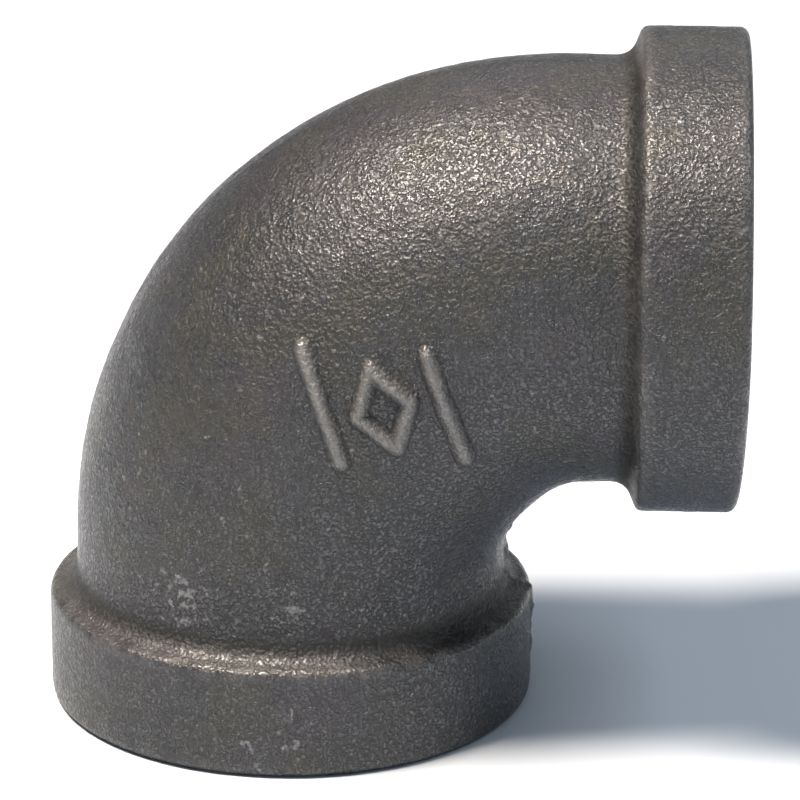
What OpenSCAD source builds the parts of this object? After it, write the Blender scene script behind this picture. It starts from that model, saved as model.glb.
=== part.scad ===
// Threaded 90 degree pipe elbow in malleable cast iron, nominal pipe size 3/8, in millimetres.
// One mouth faces down (-Z) and the other faces along +X, and the part is symmetric about Y = 0.
// The origin is the centre of the lower mouth's end face.

/* [Socket ends] */
// Distance from the crossing of the two axes to each end face
centre_to_end = 24.1; // [24.1:0.1:25.0]
// Outside diameter of the reinforcing band round each mouth
band_d = 26.0; // [25.8:0.1:26.8]
// Width of the band, measured to the start of its slope
band_w = 5.8; // [5.6:0.1:6.2]
// Rounding of the band's edge at the mouth
mouth_edge_r = 0.5; // [0.2:0.1:0.8]
// Rounding of the band's edge above the slope
crown_r = 0.5; // [0.3:0.1:0.6]
// Length of the slope from the band down to the barrel
slope_l = 0.4; // [0.4:0.1:1.2]
// Radius of the hollow fillet at the foot of the slope
foot_r = 1.1; // [0.6:0.1:1.1]

/* [Barrel] */
// Outside diameter of the curved barrel
barrel_d = 23.3; // [22.8:0.1:23.4]
// Radius of the bend, measured to the barrel's centre line
bend_r = 15.4; // [15.0:0.1:15.4]
// Diameter of the cast waterway
waterway_d = 17.8; // [17.4:0.1:18.0]

/* [Threads] */
// Diameter over the crests of the female thread
thread_crest_d = 14.8; // [14.6:0.1:15.0]
// Length of the threaded land in each socket
thread_l = 9.1; // [9.1:0.1:9.5]
// Chamfer at the inner end of the threaded land
thread_end_chamfer = 0.6; // [0.3:0.1:0.8]

/* [Foundry mark] */
// Height of the mark above the barrel
mark_relief = 0.45; // [0.3:0.05:0.6]
// Width of the mark's raised lines
mark_line_w = 0.75; // [0.6:0.05:0.9]
// Place of the mark along the bend, in degrees from the lower socket
mark_angle = 49; // [40:1:55]
// Lean of the mark from upright, in degrees
mark_tilt = 19; // [0:1:30]
// Length of each of the two bars
mark_bar_l = 7; // [6:0.1:7.4]
// Distance from the middle of the mark to each bar
mark_bar_offset = 3.2; // [3.1:0.1:3.6]
// Width and height of the lozenge between the bars
mark_lozenge = [3.6, 5.2]; // [3.2:0.1:5.8]

/* [Hidden] */

$fn = 96;
CUT = 1;
CAST_COLOUR = [0.20, 0.20, 0.21];
THREAD_COLOUR = [0.36, 0.35, 0.34];

band_r = band_d / 2;
barrel_r = barrel_d / 2;
waterway_r = waterway_d / 2;
thread_crest_r = thread_crest_d / 2;
straight_l = centre_to_end - bend_r;
// The waterway turns exactly where the threaded lands end
waterway_bend_r = centre_to_end - thread_l;

// The slope, and how far each of its roundings reaches along the lines beside it
slope_angle = atan((band_r - barrel_r) / slope_l);
slope_end = band_w + slope_l;
crown_reach = crown_r * tan(slope_angle / 2);
foot_reach = foot_r * tan(slope_angle / 2);

mark_centre = [bend_r * (1 - cos(mark_angle)), straight_l + bend_r * sin(mark_angle)];
lozenge_inradius = mark_lozenge.x * mark_lozenge.y / norm(mark_lozenge) / 2;

// Places a shape made for the lower socket on the side socket
module at_side() {
    translate([centre_to_end, 0, centre_to_end])
        rotate([0, -90, 0])
            children();
}

// Places a shape on both sockets
module at_both() {
    children();
    at_side() children();
}

// Quarter ring between the two sockets, round at tube_r and bent at turn_r
module quarter_bend(tube_r, turn_r) {
    translate([turn_r, 0, centre_to_end - turn_r])
        rotate([90, 0, 0])
            rotate_extrude(angle = 90, start = 90)
                translate([turn_r, 0])
                    circle(tube_r);
}

// Half section of a socket's outside: radius along X, depth from the mouth along Y
module socket_section() {
    difference() {
        union() {
            polygon([
                [0, 0],
                [band_r - mouth_edge_r, 0],
                [band_r, mouth_edge_r],
                [band_r, band_w - crown_reach],
                [band_r - crown_reach * sin(slope_angle), band_w + crown_reach * cos(slope_angle)],
                [barrel_r + foot_reach * sin(slope_angle), slope_end - foot_reach * cos(slope_angle)],
                [barrel_r, slope_end + foot_reach],
                [barrel_r, straight_l],
                [0, straight_l]
            ]);
            translate([band_r - mouth_edge_r, mouth_edge_r]) circle(mouth_edge_r);
            translate([band_r - crown_r, band_w - crown_reach]) circle(crown_r);
        }
        translate([barrel_r + foot_r, slope_end + foot_reach]) circle(foot_r);
    }
}

// Half section of a threaded land, with a 45 degree lead-in that starts at the waterway's radius
module thread_section() {
    lead_in = waterway_r - thread_crest_r;
    polygon([
        [waterway_r, 0],
        [waterway_r, thread_l],
        [thread_crest_r + thread_end_chamfer, thread_l],
        [thread_crest_r, thread_l - thread_end_chamfer],
        [thread_crest_r, lead_in]
    ]);
}

// Straight raised line with round ends, upright before it is tilted
module mark_bar() {
    square([mark_line_w, mark_bar_l - mark_line_w], center = true);
    for (side = [-1, 1])
        translate([0, side * (mark_bar_l - mark_line_w) / 2])
            circle(d = mark_line_w);
}

// Lozenge of a given share of the full size
module lozenge(share) {
    half = mark_lozenge * share / 2;
    polygon([[half.x, 0], [0, half.y], [-half.x, 0], [0, -half.y]]);
}

// Flat outline of the mark: a hollow lozenge between two bars, each of them tilted in its place
module mark_outline() {
    for (side = [-1, 1])
        translate([side * mark_bar_offset, 0])
            rotate(mark_tilt)
                mark_bar();
    rotate(mark_tilt)
        difference() {
            lozenge(1);
            lozenge(1 - mark_line_w / lozenge_inradius);
        }
}

// The whole casting: a curved barrel with a band round each mouth, and its waterway
module elbow_casting() {
    color(CAST_COLOUR)
        difference() {
            union() {
                at_both() rotate_extrude() socket_section();
                quarter_bend(barrel_r, bend_r);
            }
            at_both() translate([0, 0, -CUT]) cylinder(h = thread_l + CUT, r = waterway_r);
            quarter_bend(waterway_r, waterway_bend_r);
        }
}

// Threaded land of the lower socket, at the diameter of the thread's crests
module lower_thread() {
    color(THREAD_COLOUR)
        rotate_extrude() thread_section();
}

// Threaded land of the side socket
module side_thread() {
    color(THREAD_COLOUR)
        at_side() rotate_extrude() thread_section();
}

// Raised mark that follows the barrel's curve on the side that faces -Y
module cast_mark() {
    color(CAST_COLOUR)
        difference() {
            intersection() {
                quarter_bend(barrel_r + mark_relief, bend_r);
                translate([mark_centre.x, 0, mark_centre.y])
                    rotate([90, 0, 0])
                        linear_extrude(band_r) mark_outline();
            }
            quarter_bend(barrel_r, bend_r);
        }
}

elbow_casting();
lower_thread();
side_thread();
cast_mark();
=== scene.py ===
"""Looks of a threaded 90 degree pipe elbow in black malleable iron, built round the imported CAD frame.

The lower mouth's end face is at z = 0 and faces down; the side mouth faces along +X.
Lengths named below are in millimetres, and MM turns them into Blender's metres.
"""

import math

import bpy
import numpy as np
from mathutils import Matrix, Vector, noise


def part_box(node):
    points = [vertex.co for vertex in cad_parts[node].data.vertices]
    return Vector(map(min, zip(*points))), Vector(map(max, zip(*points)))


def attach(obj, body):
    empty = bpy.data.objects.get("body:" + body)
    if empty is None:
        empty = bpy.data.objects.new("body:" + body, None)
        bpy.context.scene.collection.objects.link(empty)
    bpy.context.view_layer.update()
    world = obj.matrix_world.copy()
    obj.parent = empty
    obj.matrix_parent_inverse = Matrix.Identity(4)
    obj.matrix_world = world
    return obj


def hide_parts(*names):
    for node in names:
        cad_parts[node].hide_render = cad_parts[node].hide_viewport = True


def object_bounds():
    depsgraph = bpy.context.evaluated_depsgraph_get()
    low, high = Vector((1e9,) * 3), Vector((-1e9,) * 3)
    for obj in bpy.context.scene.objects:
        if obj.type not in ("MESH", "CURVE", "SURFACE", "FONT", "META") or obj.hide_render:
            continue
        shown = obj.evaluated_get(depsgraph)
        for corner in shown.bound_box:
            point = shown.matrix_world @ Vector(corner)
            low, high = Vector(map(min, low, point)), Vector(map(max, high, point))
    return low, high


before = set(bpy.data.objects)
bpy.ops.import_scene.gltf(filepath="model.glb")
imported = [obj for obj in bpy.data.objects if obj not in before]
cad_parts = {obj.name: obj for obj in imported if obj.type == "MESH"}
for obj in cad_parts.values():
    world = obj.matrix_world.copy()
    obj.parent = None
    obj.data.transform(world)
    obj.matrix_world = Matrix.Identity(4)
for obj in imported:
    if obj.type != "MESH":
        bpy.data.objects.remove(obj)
cad_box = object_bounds()

MM = 0.001

# Sizes read from the frame
CENTRE_TO_END = cad_box[1].x / MM
BAND_R = cad_box[1].y / MM
WATERWAY_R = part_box("lower_thread")[1].x / MM
THREAD_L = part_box("lower_thread")[1].z / MM

# Outside of the two ends, which differ by tenths on the real casting and not in the CAD model
LOWER_END = {"band_r": BAND_R - 0.04, "band_w": 5.95, "barrel_r": 11.52, "slope_l": 0.32, "foot_r": 1.15}
SIDE_END = {"band_r": BAND_R - 0.14, "band_w": 5.6, "barrel_r": 11.32, "slope_l": 0.62, "foot_r": 1.1}
# Roundings of the band's edge at the mouth and above the slope
MOUTH_EDGE_R = 0.5
CROWN_R = 0.45
# How much fuller the barrel is in the middle of the bend, and its mean radius
BARREL_SWELL = 0.45
BARREL_MEAN_R = 11.6

# The centre line: a straight length at each end of a quarter bend
BEND_R = 15.4
STRAIGHT_L = CENTRE_TO_END - BEND_R
BEND_L = BEND_R * math.pi / 2
PATH_L = 2 * STRAIGHT_L + BEND_L

# Bumps of the cast skin, as (height, size, seed), and the length over which they fade out at a mouth
SKIN_BUMPS = ((0.045, 7.0, 1), (0.020, 1.5, 2), (0.016, 0.55, 5))
SKIN_FADE = 0.4

# Flash along the parting plane: height and half width outside, and what the crook adds to each
SEAM_HEIGHT = 0.035
SEAM_CROOK_HEIGHT = 0.23
SEAM_HALF_W = 0.2
SEAM_CROOK_HALF_W = 0.25
# How ragged it is, as the mean and spread of its share of that height, and how far its line wanders
SEAM_RAGGED_MEAN = 0.6
SEAM_RAGGED_SPREAD = 0.8
SEAM_WANDER = 0.15
# The crook: how far its middle lies below the centre of the bend, and its reach
CROOK_DROP = 0.5
CROOK_REACH = 7.0

# The worn outer edge of the side mouth: how far it falls back, and where the wear starts
SIDE_EDGE_DROP = 0.5
SIDE_EDGE_INNER_R = 10
SIDE_EDGE_REACH = 3

# Places where the grain is rubbed bare: path length, angle round the path in degrees, and reach
SCUFFS = ((8.8, 63, 1.6), (8.8, 92, 0.8), (2.1, 84, 0.9), (1.8, 91, 0.7))

# Wear of the bands' two edges: how far it reaches from each, its mean share and how much that varies
CROWN_WEAR_REACH = 0.45
MOUTH_WEAR_REACH = 0.5
WEAR_MEAN = 0.28
WEAR_SPREAD = 0.42

# Painted shade in the hollow beside each band: distance from the band's edge to its middle, and its
# reach
LOWER_SHADE_MIDDLE = 0.90
SIDE_SHADE_MIDDLE = 0.60
PAINTED_SHADE_REACH = 0.45

# Noise in the meshes: how its octaves fall off and shrink, and how far apart two seeds are
OCTAVE_FALLOFF = 0.9
OCTAVE_SHRINK = 2.1
SEED_SHIFT = (17.3, 5.1, 9.7)

# Mesh spacing, and how near a point has to be to a face to be on it
SKIN_STEP = 0.19
CAVITY_STEP = 0.9
RIM_STEP = 0.4
AROUND = 336
NEAR = 0.01

# 3/8-18 taper pipe thread; the flats are a share of the pitch, and the taper is on the radius
THREAD_PITCH = 25.4 / 18
THREAD_DEPTH = 1.08
THREAD_TAPER = 1 / 32
THREAD_CREST_R = 7.42
THREAD_FLAT = 0.06
THREAD_ROWS_PER_PITCH = 22
THREAD_AROUND = 256
MOUTH_LEAD_IN = 1.5
# Chamfer of the crests at the land's inner end, and how much deeper it goes to reach the roots
INNER_CHAMFER = 0.6
CHAMFER_INTO_ROOTS = 0.3

# Foundry mark: a hollow lozenge between two bars, on the side that faces -Y
MARK_ANGLE = math.radians(49)
MARK_TILT = math.radians(19)
MARK_RELIEF = 0.44
MARK_LINE_W = 0.75
MARK_BAR_L = 7.0
MARK_BAR_OFFSET = 3.2
MARK_LOZENGE = (3.6, 5.2)
# Distance from the middle of a stroke to its foot, how much that varies, and the strokes' roughness
MARK_REACH = 0.64
MARK_UNEVEN = 0.06
MARK_ROUGH = 0.03
# Mesh of the mark: spacing, margin beside and above the bars, and the least height that is kept
MARK_STEP = 0.06
MARK_MARGIN_U = 2.2
MARK_MARGIN_V = 0.9
MARK_LEAST = 0.004
# How far the strokes' feet sink into the barrel, and how far the solid goes on below them
MARK_SINK = 0.03
MARK_ROOT = 0.5
# Wear at the strokes' tops, which also paints their highlight, and painted shade at their feet with the
# share of the height it climbs
MARK_WEAR_AND_HIGHLIGHT = 1.3
MARK_PAINTED_SHADE = 0.8
MARK_SHADE_SHARE = 0.35

# The stage, in metres: the floor's half width and its distance below the elbow, and the lights' target
FLOOR_HALF = 2.0
FLOOR_GAP = 0.00002
FLOOR_COLOUR = (0.575, 0.63, 0.70, 1)
LIGHT_TARGET = (0.006, 0, 0.016)


# ---------------------------------------------------------------- shape of the casting

def arc(centre, radius, start, end, count):
    """Points on an arc in the (depth, radius) plane, with angles in degrees from the depth axis."""
    angles = np.radians(np.linspace(start, end, count))
    return [(centre[0] + radius * math.cos(a), centre[1] + radius * math.sin(a)) for a in angles]


def resample(points, step):
    """The same outline with no gap longer than step."""
    out = [points[0]]
    for (x0, y0), (x1, y1) in zip(points, points[1:]):
        count = max(1, math.ceil(math.dist((x0, y0), (x1, y1)) / step))
        for k in range(1, count + 1):
            out.append((x0 + (x1 - x0) * k / count, y0 + (y1 - y0) * k / count))
    return out


def socket_outline(band_r, band_w, barrel_r, slope_l, foot_r):
    """(depth from the mouth, radius) along a socket's outside, from the mouth's rim to the barrel."""
    slope = math.atan2(band_r - barrel_r, slope_l)
    crown_reach = CROWN_R * math.tan(slope / 2)
    foot_reach = foot_r * math.tan(slope / 2)
    turn = math.degrees(slope)
    crown = (band_w - crown_reach, band_r - CROWN_R)
    foot = (band_w + slope_l + foot_reach, barrel_r + foot_r)
    outline = (
        arc((MOUTH_EDGE_R, band_r - MOUTH_EDGE_R), MOUTH_EDGE_R, 180, 90, 6)
        + arc(crown, CROWN_R, 90, 90 - turn, 5)
        + arc(foot, foot_r, 270 - turn, 270, 7)
    )
    return resample(outline, SKIN_STEP)


LOWER_OUTLINE = socket_outline(**LOWER_END)
SIDE_OUTLINE = socket_outline(**SIDE_END)
BARREL_START = LOWER_OUTLINE[-1][0]
BARREL_END = PATH_L - SIDE_OUTLINE[-1][0]


def barrel_radius(s):
    """Radius of the barrel at a path length: a touch fuller in the middle of the bend."""
    share = np.clip((s - BARREL_START) / (BARREL_END - BARREL_START), 0, 1)
    plain = LOWER_END["barrel_r"] + (SIDE_END["barrel_r"] - LOWER_END["barrel_r"]) * share
    return plain + BARREL_SWELL * np.sin(np.pi * share) ** 2


def centre_line(s):
    """Point and direction of the path at length s from the lower mouth, in the XZ plane."""
    if s <= STRAIGHT_L:
        return (0.0, s), (0.0, 1.0)
    if s >= STRAIGHT_L + BEND_L:
        return (s - STRAIGHT_L - BEND_L + BEND_R, CENTRE_TO_END), (1.0, 0.0)
    a = (s - STRAIGHT_L) / BEND_R
    return (BEND_R * (1 - math.cos(a)), STRAIGHT_L + BEND_R * math.sin(a)), (math.sin(a), math.cos(a))


def swept(stations, around):
    """Positions and outward directions of rings of points: stations are (path length, radius).

    Angle 0 is on the outside of the bend, in the mould's parting plane, and a quarter turn on is -Y."""
    angles = np.arange(around) * 2 * math.pi / around
    cos, sin = np.cos(angles)[:, None], np.sin(angles)[:, None]
    points, outward = [], []
    for s, r in stations:
        (x, z), (dx, dz) = centre_line(s)
        out = cos * np.array([-dz, 0, dx]) - sin * np.array([0, 1.0, 0])
        points.append(np.array([x, 0, z]) + r * out)
        outward.append(out)
    return np.array(points), np.array(outward)


def fractal(points, size, octaves, seed):
    """Smooth noise from about -1 to 1 at each point, with features of a given size in millimetres."""
    shift = Vector([seed * step for step in SEED_SHIFT])
    rules = (OCTAVE_FALLOFF, OCTAVE_SHRINK, octaves)
    values = [
        noise.fractal(Vector(p) / size + shift, *rules, noise_basis="PERLIN_ORIGINAL")
        for p in points.reshape(-1, 3)
    ]
    return np.array(values).reshape(points.shape[:-1])


def seam_height(points):
    """Height of the flash left along the mould's parting plane: fine outside, rougher in the crook."""
    x, y, z = points[..., 0], points[..., 1], points[..., 2]
    centre = STRAIGHT_L - CROOK_DROP
    crook = np.exp(-(((x - BEND_R) ** 2 + (z - centre) ** 2) / CROOK_REACH ** 2) ** 2)
    ragged = SEAM_RAGGED_MEAN + SEAM_RAGGED_SPREAD * fractal(points, 0.9, 2, 3)
    wander = SEAM_WANDER * fractal(points, 6, 1, 4)
    line = np.exp(-((y + wander) / (SEAM_HALF_W + SEAM_CROOK_HALF_W * crook)) ** 2)
    return line * ragged * (SEAM_HEIGHT + SEAM_CROOK_HEIGHT * crook)


def skin_height(points):
    """How far the cast skin stands out of its plain shape, in millimetres."""
    bumps = sum(height * fractal(points, size, 2, seed) for height, size, seed in SKIN_BUMPS)
    return bumps + seam_height(points)


def worn_side_edge(points):
    """The side mouth's outer edge falls back on its lower half, where the mould was worn."""
    x, y, z = points[..., 0], points[..., 1], points[..., 2]
    near_mouth = np.clip(1 - (CENTRE_TO_END - x) / SIDE_EDGE_REACH, 0, 1)
    from_inner = np.hypot(y, z - CENTRE_TO_END) - SIDE_EDGE_INNER_R
    outer = np.clip(from_inner / SIDE_EDGE_REACH, 0, 1)
    low = np.clip((CENTRE_TO_END - z) / BAND_R, 0, 1)
    points[..., 0] -= SIDE_EDGE_DROP * near_mouth * outer * low ** 1.5
    return points


def inside_box(points):
    """The points, with none of the skin's bumps standing out of the CAD model's box."""
    return np.clip(points, np.array(cad_box[0]) / MM, np.array(cad_box[1]) / MM)


# ---------------------------------------------------------------- mesh helpers

def make_piece(name, points, faces, material, replaces):
    """A mesh object in the row frame that rides on the casting's body."""
    mesh = bpy.data.meshes.new(name)
    points = np.asarray(points, float).reshape(-1, 3) * MM
    faces = np.asarray(faces, np.int32)
    mesh.vertices.add(len(points))
    mesh.vertices.foreach_set("co", points.ravel())
    mesh.loops.add(faces.size)
    mesh.loops.foreach_set("vertex_index", faces.ravel())
    mesh.polygons.add(len(faces))
    mesh.polygons.foreach_set("loop_start", np.arange(0, faces.size, 4, dtype=np.int32))
    mesh.polygons.foreach_set("use_smooth", np.full(len(faces), True))
    mesh.update(calc_edges=True)
    mesh.validate()
    mesh.materials.append(material)
    piece = bpy.data.objects.new(name, mesh)
    bpy.context.scene.collection.objects.link(piece)
    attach(piece, "root")
    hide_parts(replaces)
    return piece


def grid_faces(rows, columns, close_rows, close_columns=True):
    """Quads of a grid of points, whose rows and columns may close on themselves."""
    i = np.arange(rows if close_rows else rows - 1)
    j = np.arange(columns if close_columns else columns - 1)
    i, j = np.meshgrid(i, j, indexing="ij")
    i2, j2 = (i + 1) % rows, (j + 1) % columns
    corners = ((i, j), (i2, j), (i2, j2), (i, j2))
    return np.stack([row * columns + column for row, column in corners], -1).reshape(-1, 4)


def add_value(piece, name, values):
    """A value at each point that the material reads by name."""
    attribute = piece.data.attributes.new(name, "FLOAT", "POINT")
    attribute.data.foreach_set("value", np.asarray(values, np.float32).ravel())


def add_ring_value(piece, name, values):
    """A value that is the same all round each ring of the casting."""
    add_value(piece, name, np.repeat(values[:, None], AROUND, 1))


# ---------------------------------------------------------------- materials

class Nodes:
    """Short calls that add and link shader nodes."""

    def __init__(self, name):
        self.material = bpy.data.materials.new(name)
        self.material.use_nodes = True
        self.tree = self.material.node_tree
        self.shader = next(n for n in self.tree.nodes if n.type == "BSDF_PRINCIPLED")
        self.position = self.tree.nodes.new("ShaderNodeTexCoord").outputs["Object"]

    def add(self, kind, inputs=None, **settings):
        node = self.tree.nodes.new(kind)
        for key, value in settings.items():
            setattr(node, key, value)
        for key, value in (inputs or {}).items():
            self.set(node.inputs[key], value)
        return node

    def set(self, socket, value):
        if isinstance(value, bpy.types.NodeSocket):
            self.tree.links.new(value, socket)
        else:
            socket.default_value = value

    def noise(self, size, detail, seed, rough=0.5):
        """Noise with features of about size millimetres; its mean is one half."""
        shift = (seed, seed * 0.7, seed * 0.3)
        place = self.add("ShaderNodeVectorMath", {0: self.position, 1: shift}, operation="ADD")
        return self.add("ShaderNodeTexNoise", {
            "Vector": place.outputs[0], "Scale": 1 / (size * MM), "Detail": detail,
            "Roughness": rough}).outputs["Fac"]

    def cells(self, size):
        """Distance to the nearest of scattered points about size millimetres apart."""
        return self.add("ShaderNodeTexVoronoi", {
            "Vector": self.position, "Scale": 1 / (size * MM), "Smoothness": 0.6},
            feature="SMOOTH_F1").outputs["Distance"]

    def ramp(self, value, low, high, to_low=0.0, to_high=1.0):
        """Smooth step between two values."""
        return self.add("ShaderNodeMapRange", {
            "Value": value, "From Min": low, "From Max": high, "To Min": to_low, "To Max": to_high},
            interpolation_type="SMOOTHSTEP").outputs["Result"]

    def math(self, operation, a, b):
        return self.add("ShaderNodeMath", {0: a, 1: b}, operation=operation).outputs[0]

    def times(self, a, b):
        return self.math("MULTIPLY", a, b)

    def mix(self, factor, a, b):
        """From colour a at 0 to colour b at 1."""
        return self.add("ShaderNodeMix", {"Factor": factor, 6: a, 7: b}, data_type="RGBA").outputs[2]

    def value(self, name):
        """A value that the mesh carries at each point."""
        return self.add("ShaderNodeAttribute", attribute_name=name).outputs["Fac"]

    def bump(self, height, distance, normal=None):
        """Relief as deep as distance, in millimetres, on top of another normal."""
        node = self.add("ShaderNodeBump", {"Height": height, "Distance": distance * MM, "Strength": 1.0})
        if normal is not None:
            self.set(node.inputs["Normal"], normal)
        return node.outputs["Normal"]


# Colours of the cast skin
BLACKS = ((0.0115, 0.0128, 0.0160, 1), (0.0160, 0.0165, 0.0185, 1))
BURNISHED = (0.078, 0.083, 0.093, 1)
# Wear of the bands' edges; on the mark's stroke tops it is partly painted highlight
WORN_AND_HIGHLIGHT = (0.20, 0.195, 0.19, 1)
SCUFFED = (0.26, 0.26, 0.26, 1)
# Painted shade for the hollows beside the bands and at the mark's feet
PAINTED_SHADE_COLOUR = (0.009, 0.009, 0.008, 1)
FACED = (0.16, 0.155, 0.15, 1)
RUSTY_BORE = (0.095, 0.078, 0.064, 1)
# Its faint stains, cool, violet, olive and rusty, as
# (noise size, detail, seed, ramp start, ramp end, strength, colour)
SKIN_STAINS = (
    (2.2, 3, 8.0, 0.45, 0.66, 0.7, (0.020, 0.022, 0.028, 1)),
    (6.0, 2, 21.0, 0.48, 0.62, 0.7, (0.022, 0.018, 0.025, 1)),
    (5.0, 2, 26.0, 0.50, 0.62, 0.7, (0.022, 0.0215, 0.015, 1)),
    (1.6, 3, 15.0, 0.60, 0.72, 0.45, (0.042, 0.034, 0.026, 1)),
)


def cast_skin_material():
    """Black annealed iron, tumbled and oiled: an orange-peel grain with a soft sheen."""
    n = Nodes("cast_skin")
    wear_and_highlight, faced, hollow = n.value("wear_and_highlight"), n.value("faced"), n.value("hollow")
    scuffed, bore = n.value("scuffed"), n.value("bore")
    pebbles = n.math("SUBTRACT", 1.0, n.cells(0.23))
    grain = n.noise(0.18, 3, 6.0, rough=0.6)
    fine = n.noise(0.09, 2, 9.0)
    lumps = n.noise(0.60, 2, 7.0)
    relief = n.math("ADD", n.times(pebbles, 0.5), grain)
    plateaus = n.ramp(relief, 0.60, 0.82)

    patches = n.ramp(n.noise(4.5, 3, 3.0), 0.38, 0.62)
    colour = n.mix(patches, *BLACKS)
    for size, detail, seed, low, high, strength, stain in SKIN_STAINS:
        colour = n.mix(n.ramp(n.noise(size, detail, seed), low, high, 0.0, strength), colour, stain)
    tops = n.ramp(relief, 0.74, 1.02)
    colour = n.mix(n.times(tops, 0.95), colour, BURNISHED)
    # wear of the bands' edges, and wear with painted highlight on the mark's stroke tops
    colour = n.mix(n.times(wear_and_highlight, 0.60), colour, WORN_AND_HIGHLIGHT)
    specks = n.noise(0.45, 2, 11.0)
    scuffs = n.ramp(n.math("ADD", specks, n.times(scuffed, 0.20)), 0.68, 0.76)
    colour = n.mix(n.times(scuffs, 0.5), colour, SCUFFED)
    # painted shade in the hollows beside the bands and at the mark's feet
    colour = n.mix(n.times(hollow, 0.95), colour, PAINTED_SHADE_COLOUR)
    colour = n.mix(n.times(faced, 0.8), colour, FACED)
    colour = n.mix(n.times(bore, 0.85), colour, RUSTY_BORE)
    n.set(n.shader.inputs["Base Color"], colour)

    uneven = n.ramp(n.noise(1.2, 3, 2.0), 0.3, 0.7, 0.35, 0.43)
    rough = n.math("SUBTRACT", uneven, n.times(plateaus, 0.138))
    n.set(n.shader.inputs["Roughness"], n.math("ADD", rough, n.times(hollow, 0.25)))
    n.set(n.shader.inputs["Metallic"], n.times(plateaus, 0.35))
    n.set(n.shader.inputs["Specular IOR Level"], 0.8)
    normal = None
    for height, depth in ((lumps, 0.07), (plateaus, 0.022), (relief, 0.060), (fine, 0.010)):
        normal = n.bump(height, depth, normal)
    n.set(n.shader.inputs["Normal"], normal)
    return n.material


# Colours of the cut threads
BARE_IRON = ((0.30, 0.29, 0.28, 1), (0.20, 0.19, 0.18, 1))
OILY_ROOT = (0.06, 0.055, 0.05, 1)


def cut_thread_material():
    """Bare iron as the tap leaves it, darkened with oil in the roots."""
    n = Nodes("cut_thread")
    depth = n.value("depth")
    stain = n.ramp(n.noise(1.6, 3, 4.0), 0.35, 0.65)
    colour = n.mix(stain, *BARE_IRON)
    colour = n.mix(n.times(depth, 0.75), colour, OILY_ROOT)
    n.set(n.shader.inputs["Base Color"], colour)
    n.set(n.shader.inputs["Metallic"], 0.75)
    n.set(n.shader.inputs["Roughness"], n.ramp(n.noise(0.8, 3, 9.0), 0.3, 0.7, 0.30, 0.48))
    n.set(n.shader.inputs["Normal"], n.bump(n.noise(0.12, 2, 1.0), 0.012))
    return n.material


# ---------------------------------------------------------------- pieces

def casting_stations():
    """(path length, radius) of each ring of the wall, and how many rings have the cast skin."""
    barrel_rows = math.ceil((BARREL_END - BARREL_START) / SKIN_STEP)
    barrel_s = np.linspace(BARREL_START, BARREL_END, barrel_rows + 1)[1:-1]
    barrel = [(s, barrel_radius(s)) for s in barrel_s]
    outside = LOWER_OUTLINE + barrel + [(PATH_L - s, r) for s, r in reversed(SIDE_OUTLINE)]
    lower_rim = resample([LOWER_OUTLINE[0], (0, WATERWAY_R)], RIM_STEP)[1:-1]
    side_rim = resample([SIDE_OUTLINE[0], (0, WATERWAY_R)], RIM_STEP)[1:-1]
    side_rim = [(PATH_L, r) for _, r in side_rim]
    cavity_l = PATH_L - 2 * THREAD_L
    count = math.ceil(cavity_l / CAVITY_STEP)
    cavity = [(THREAD_L + cavity_l * k / count, WATERWAY_R) for k in range(count + 1)]
    cavity = [(0, WATERWAY_R)] + cavity + [(PATH_L, WATERWAY_R)]
    return outside + side_rim + cavity[::-1] + lower_rim[::-1], len(outside)


def nearness_to_scuffs(s):
    """From 1 in the middle of a scuff to 0 away from it, on rings at the path lengths s."""
    angle = np.arange(AROUND) * 360 / AROUND
    share = np.zeros((len(s), AROUND))
    for along, around, reach in SCUFFS:
        apart = (angle - around) * math.radians(1) * BARREL_MEAN_R
        near = np.exp(-((s[:, None] - along) ** 2 + apart[None, :] ** 2) / reach ** 2)
        share = np.maximum(share, near)
    return share


def build_casting(material):
    """The casting as one closed wall: outside, both rims and the waterway."""
    stations, skin_rings = casting_stations()
    points, outward = swept(stations, AROUND)
    is_skin = np.arange(len(stations)) < skin_rings
    s = np.array([a for a, _ in stations])
    from_mouth = np.minimum(s, PATH_L - s)
    weight = np.clip(from_mouth[is_skin] / SKIN_FADE, 0, 1)
    lift = skin_height(points[is_skin])
    points[is_skin] += outward[is_skin] * (lift * weight[:, None])[..., None]
    points = inside_box(worn_side_edge(points))
    faces = grid_faces(len(stations), AROUND, True)[:, ::-1]
    piece = make_piece("casting", points, faces, material, "elbow_casting")

    at_lower = s < PATH_L / 2
    band_w = np.where(at_lower, LOWER_END["band_w"], SIDE_END["band_w"])
    crown = np.exp(-((from_mouth - band_w) / CROWN_WEAR_REACH) ** 2)
    edges = is_skin * (crown + np.exp(-(from_mouth / MOUTH_WEAR_REACH) ** 2))
    wear_and_highlight = edges[:, None] * (WEAR_MEAN + WEAR_SPREAD * fractal(points, 1.0, 2, 6))
    add_value(piece, "wear_and_highlight", np.clip(wear_and_highlight, 0, 1))
    add_value(piece, "scuffed", is_skin[:, None] * nearness_to_scuffs(s))
    # painted shade in the hollow beside each band
    middle = band_w + np.where(at_lower, LOWER_SHADE_MIDDLE, SIDE_SHADE_MIDDLE)
    add_ring_value(piece, "hollow", is_skin * np.exp(-((from_mouth - middle) / PAINTED_SHADE_REACH) ** 2))
    add_ring_value(piece, "bore", ~is_skin & (from_mouth > THREAD_L - NEAR))
    add_ring_value(piece, "faced", ~is_skin & (from_mouth < NEAR))


def thread_profile(turns):
    """0 at a crest and 1 at a root of a 60 degree thread with narrow flats."""
    flank = np.abs(turns % 1.0 * 2 - 1)
    return 1 - np.clip((flank - THREAD_FLAT) / (1 - 2 * THREAD_FLAT), 0, 1)


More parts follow.
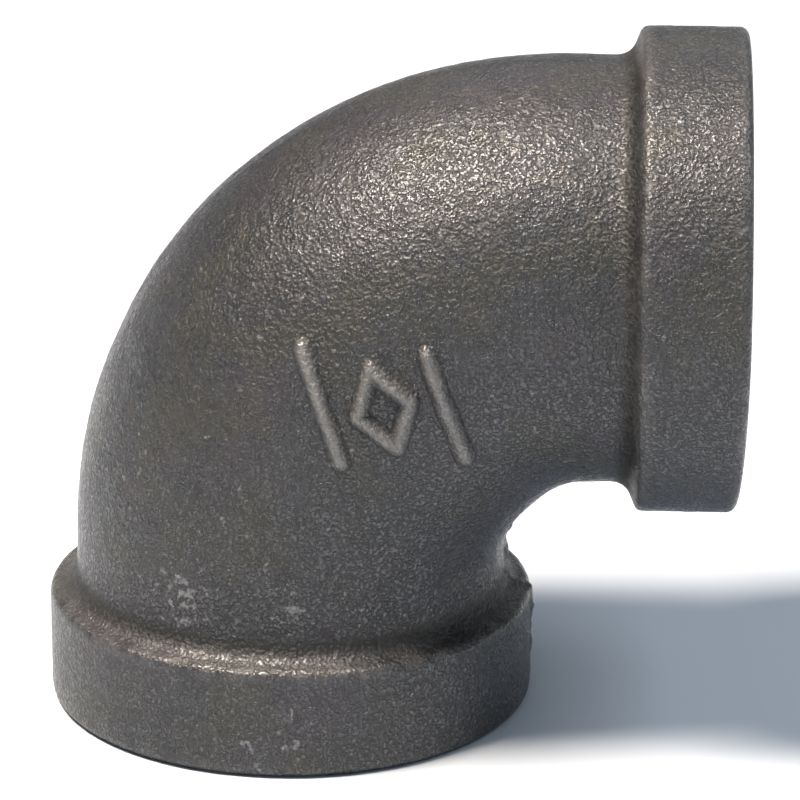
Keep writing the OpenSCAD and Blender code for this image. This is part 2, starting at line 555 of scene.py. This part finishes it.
def build_thread(name, node, material, place):
    """A socket's threaded land: a closed ring with the helix cut into its inner wall."""
    rows = math.ceil(THREAD_L / THREAD_PITCH * THREAD_ROWS_PER_PITCH)
    z = np.linspace(0, THREAD_L, rows)[:, None]
    angle = (np.arange(THREAD_AROUND) * 2 * math.pi / THREAD_AROUND)[None, :]
    turns = z / THREAD_PITCH - angle / (2 * math.pi)
    depth = thread_profile(turns)
    crest = THREAD_CREST_R - THREAD_TAPER * z
    radius = crest + THREAD_DEPTH * depth
    lead_in = WATERWAY_R - z * (WATERWAY_R - THREAD_CREST_R) / MOUTH_LEAD_IN
    chamfer = crest[-1, 0] + INNER_CHAMFER - (THREAD_L - z) + CHAMFER_INTO_ROOTS
    radius = np.maximum(np.maximum(radius, lead_in), chamfer)
    height = np.broadcast_to(z, radius.shape)
    inner = np.stack([radius * np.cos(angle), radius * np.sin(angle), height], -1)
    ring = WATERWAY_R * np.concatenate([np.cos(angle), np.sin(angle)], 0).T
    outer = np.concatenate([ring, np.full((THREAD_AROUND, 1), THREAD_L)], 1)[None]
    points = place(np.concatenate([inner, outer], 0))
    faces = grid_faces(rows + 1, THREAD_AROUND, True)
    piece = make_piece(name, points, faces, material, node)
    add_value(piece, "depth", np.concatenate([depth, np.zeros((1, THREAD_AROUND))], 0))


def to_lower(points):
    """The lower socket is where the threads are built."""
    return points


def to_side(points):
    """From the lower socket's place to the side socket's."""
    x, y, z = points[..., 0], points[..., 1], points[..., 2]
    return np.stack([CENTRE_TO_END - z, y, CENTRE_TO_END + x], -1)


def capsule_distance(u, v, length):
    """Distance to an upright line of a given length."""
    half = length / 2
    return np.hypot(u, np.maximum(np.abs(v) - half, 0))


def lozenge_distance(u, v):
    """Distance to the middle of the lozenge's outline."""
    half_w, half_h = ((size - MARK_LINE_W) / 2 for size in MARK_LOZENGE)
    u, v = np.abs(u), np.abs(v)
    along = np.clip((u * half_w + (half_h - v) * half_h) / (half_w ** 2 + half_h ** 2), 0, 1)
    return np.hypot(u - along * half_w, v - half_h * (1 - along))


def mark_height(u, v):
    """Relief of the mark at (u, v) from its middle: round-topped strokes with soft feet."""
    cos, sin = math.cos(MARK_TILT), math.sin(MARK_TILT)

    def tilted(du):
        return (u - du) * cos + v * sin, v * cos - (u - du) * sin

    distance = lozenge_distance(*tilted(0))
    for side in (-1, 1):
        bar = capsule_distance(*tilted(side * MARK_BAR_OFFSET), MARK_BAR_L - MARK_LINE_W)
        distance = np.minimum(distance, bar)
    uneven = MARK_UNEVEN * fractal(np.stack([u, v, 0 * u], -1), 1.1, 2, 8)
    share = np.clip((distance + uneven) / MARK_REACH, 0, 1)
    return MARK_RELIEF * (1 - share ** 2) ** 1.5


def closed_patch(points, inward, faces):
    """A patch of outward quads, closed by a copy further in and by walls round its border."""
    edges = np.stack([faces, np.roll(faces, -1, axis=1)], -1).reshape(-1, 2)
    directed = {(a, b) for a, b in edges.tolist()}
    border = np.array([(a, b) for a, b in edges.tolist() if (b, a) not in directed])
    count = len(points)
    walls = np.stack([border[:, 1], border[:, 0], border[:, 0] + count, border[:, 1] + count], -1)
    faces = np.concatenate([faces, faces[:, ::-1] + count, walls])
    return np.concatenate([points, points + inward]), faces


def build_mark(material):
    """The raised mark: strokes that follow the barrel, each going on a little way below its skin."""
    reach_u, reach_v = MARK_BAR_OFFSET + MARK_MARGIN_U, MARK_BAR_L / 2 + MARK_MARGIN_V
    u = np.arange(-reach_u, reach_u, MARK_STEP)
    v = np.arange(-reach_v, reach_v, MARK_STEP)
    u, v = np.meshgrid(u, v, indexing="ij")
    middle = (BEND_R * (1 - math.cos(MARK_ANGLE)), STRAIGHT_L + BEND_R * math.sin(MARK_ANGLE))
    x, z = middle[0] + u, middle[1] + v
    dx, dz = x - BEND_R, z - STRAIGHT_L
    from_axis = np.hypot(dx, dz)
    off_centre = from_axis - BEND_R
    s = STRAIGHT_L + BEND_R * np.arctan2(dz, -dx)
    radius = barrel_radius(s)
    y = -np.sqrt(np.maximum(radius ** 2 - off_centre ** 2, 0))
    points = np.stack([x, y, z], -1)
    outward = np.stack([off_centre * dx / from_axis, y, off_centre * dz / from_axis], -1)
    outward /= radius[..., None]
    height = mark_height(u, v)
    lift = skin_height(points) + height - MARK_SINK
    rough = MARK_ROUGH * fractal(points, 0.5, 2, 7) * height / MARK_RELIEF
    points += outward * (lift + rough)[..., None]
    faces = grid_faces(*u.shape, False, False)
    raised = (height.ravel()[faces] > MARK_LEAST).any(axis=1)
    used, index = np.unique(faces[raised], return_inverse=True)
    inward = -MARK_ROOT * outward.reshape(-1, 3)[used]
    points, faces = closed_patch(points.reshape(-1, 3)[used], inward, index.reshape(-1, 4))
    piece = make_piece("foundry_mark", points, faces, material, "cast_mark")
    share = np.tile(np.clip(height.ravel()[used] / MARK_RELIEF, 0, 1), 2)
    # stroke tops lighter: partly wear, partly painted highlight
    add_value(piece, "wear_and_highlight", share ** 2 * MARK_WEAR_AND_HIGHLIGHT)
    # painted shade at the strokes' feet
    add_value(piece, "hollow", np.clip(1 - share / MARK_SHADE_SHARE, 0, 1) * MARK_PAINTED_SHADE)
    for name in ("faced", "scuffed", "bore"):
        add_value(piece, name, np.zeros(len(points)))


# ---------------------------------------------------------------- stage

def build_floor():
    """A plain pale floor, a hair below the lower mouth's end face."""
    mesh = bpy.data.meshes.new("floor")
    corners = [(x * FLOOR_HALF, y * FLOOR_HALF, 0) for x, y in ((-1, -1), (1, -1), (1, 1), (-1, 1))]
    mesh.from_pydata(corners, [], [(0, 1, 2, 3)])
    n = Nodes("floor")
    n.set(n.shader.inputs["Base Color"], FLOOR_COLOUR)
    n.set(n.shader.inputs["Roughness"], 0.9)
    n.set(n.shader.inputs["Specular IOR Level"], 0.1)
    mesh.materials.append(n.material)
    floor = bpy.data.objects.new("floor", mesh)
    bpy.context.scene.collection.objects.link(floor)
    floor.location.z = -FLOOR_GAP


def soft_light(name, place, size, power, colour):
    """A square soft box that faces the elbow; place is in metres from the origin."""
    data = bpy.data.lights.new(name, "AREA")
    data.size = size
    data.energy = power
    data.color = colour
    light = bpy.data.objects.new(name, data)
    bpy.context.scene.collection.objects.link(light)
    light.location = place
    towards = Vector(LIGHT_TARGET) - Vector(place)
    light.rotation_euler = towards.to_track_quat("-Z", "Y").to_euler()


def build_lights():
    """A small key light above, three faint soft boxes round the elbow, and a dim, cool surround."""
    world = bpy.data.worlds.new("studio")
    world.use_nodes = True
    background = world.node_tree.nodes["Background"]
    background.inputs["Color"].default_value = (0.84, 0.92, 1.0, 1)
    background.inputs["Strength"].default_value = 0.15
    bpy.context.scene.world = world
    soft_light("overhead", (-0.13, -0.06, 0.43), 0.13, 5.0, (1.0, 0.865, 0.735))
    soft_light("front", (0.00, -0.50, 0.27), 0.30, 0.26, (0.76, 0.88, 1.0))
    soft_light("right", (0.27, 0.02, 0.38), 0.30, 0.95, (0.88, 0.94, 1.0))
    soft_light("back", (0.05, 0.45, 0.30), 0.40, 0.25, (0.97, 0.98, 1.0))


def build_camera():
    """A long lens a little above the elbow, with its distance in metres and the lens in millimetres."""
    azimuth, elevation, roll = (math.radians(a) for a in (1.42, 20.45, 0.31))
    distance, lens, sensor_w = 0.3202, 269.4, 36.0
    target = Vector((5.84, 0, 16.48)) * MM
    level = math.cos(elevation)
    back = Vector((math.sin(azimuth) * level, -math.cos(azimuth) * level, math.sin(elevation)))
    data = bpy.data.cameras.new("camera")
    data.lens = lens
    data.sensor_width = sensor_w
    data.clip_start = 0.01
    data.clip_end = 10
    camera = bpy.data.objects.new("camera", data)
    bpy.context.scene.collection.objects.link(camera)
    camera.location = target + back * distance
    rotation = (-back).to_track_quat("-Z", "Y").to_matrix().to_4x4()
    camera.rotation_euler = (rotation @ Matrix.Rotation(roll, 4, "Z")).to_euler()
    bpy.context.scene.camera = camera


build_camera()
build_lights()
build_floor()
cast_skin = cast_skin_material()
cut_thread = cut_thread_material()
build_casting(cast_skin)
build_thread("lower_socket_thread", "lower_thread", cut_thread, to_lower)
build_thread("side_socket_thread", "side_thread", cut_thread, to_side)
build_mark(cast_skin)
bpy.context.scene.view_settings.view_transform = "Standard"
